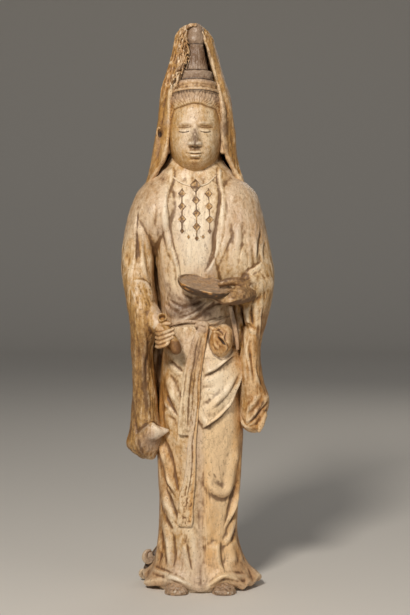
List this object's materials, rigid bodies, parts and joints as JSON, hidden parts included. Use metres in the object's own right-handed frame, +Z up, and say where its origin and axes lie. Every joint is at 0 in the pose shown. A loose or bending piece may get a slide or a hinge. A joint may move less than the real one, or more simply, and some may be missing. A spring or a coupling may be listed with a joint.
{
  "type": "kannon statuette",
  "caption": "Standing white-robed Kannon in a tall veil, with a shallow dish in the left hand and a broken stem in the right; worn pale gesso over wood.",
  "frame": {"origin": "on the flat underside, below the middle of the body", "axes": "+Z up along the figure, the figure faces -Y, its own left hand and the dish are towards +X"},
  "size_m": [0.1615, 0.1428, 0.6],
  "materials": {
    "pale_ground": "worn matte pale ground over carved wood, with ochre wear, brown recesses and a grey-brown topknot and dish"
  },
  "bodies": {
    "root": {"figure": "pale_ground"}
  },
  "joints": []
}
